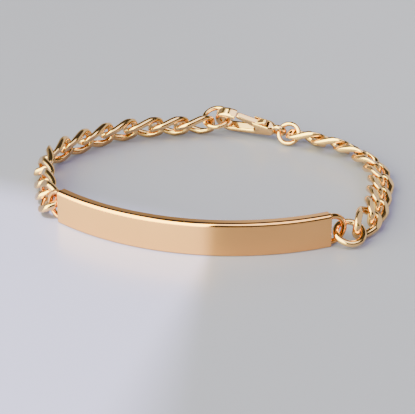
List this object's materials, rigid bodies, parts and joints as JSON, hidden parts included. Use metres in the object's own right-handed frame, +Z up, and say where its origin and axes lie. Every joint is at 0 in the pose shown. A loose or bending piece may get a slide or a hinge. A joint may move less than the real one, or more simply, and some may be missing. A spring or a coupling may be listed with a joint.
{
  "type": "id bracelet",
  "caption": "Curved bare name plate with soldered end loops on a closed curb chain, joined at the back by a lobster clasp with a sprung lever.",
  "frame": {"origin": "middle of the bracelet's outline, on the surface that it lies on", "axes": "+Z up from the surface, the plate's face towards -Y, the clasp at the back towards +Y"},
  "size_m": [0.0644, 0.0518, 0.0062],
  "materials": {
    "plate_gold": "mirror polished rose-yellow gold",
    "chain_gold": "polished rose-yellow gold, ground flat on both faces",
    "clasp_gold": "polished rose-yellow gold"
  },
  "bodies": {
    "bracelet": {"id_plate": "plate_gold", "clasp_body": "clasp_gold", "start_ring": "chain_gold", "end_ring": "chain_gold", "eye_ring": "chain_gold", "link_r01": "chain_gold", "link_r02": "chain_gold", "link_r03": "chain_gold", "link_r04": "chain_gold", "link_r05": "chain_gold", "link_r06": "chain_gold", "link_r07": "chain_gold", "link_r08": "chain_gold", "link_r09": "chain_gold", "link_l01": "chain_gold", "link_l02": "chain_gold", "link_l03": "chain_gold", "link_l04": "chain_gold", "link_l05": "chain_gold", "link_l06": "chain_gold", "link_l07": "chain_gold", "link_l08": "chain_gold", "link_l09": "chain_gold", "link_l10": "chain_gold", "link_l11": "chain_gold"},
    "lever": {"clasp_lever": "clasp_gold"}
  },
  "joints": [
    {"name": "lever_hinge", "type": "hinge", "parent": "bracelet", "child": "lever", "pos_m": [0.00445, 0.02209, 0.00313], "axis": [-0.1751, -0.7914, -0.5857], "range_deg": [0, 28], "stiffness_Nm_per_rad": 0.002, "springref_deg": -17.19}
  ]
}
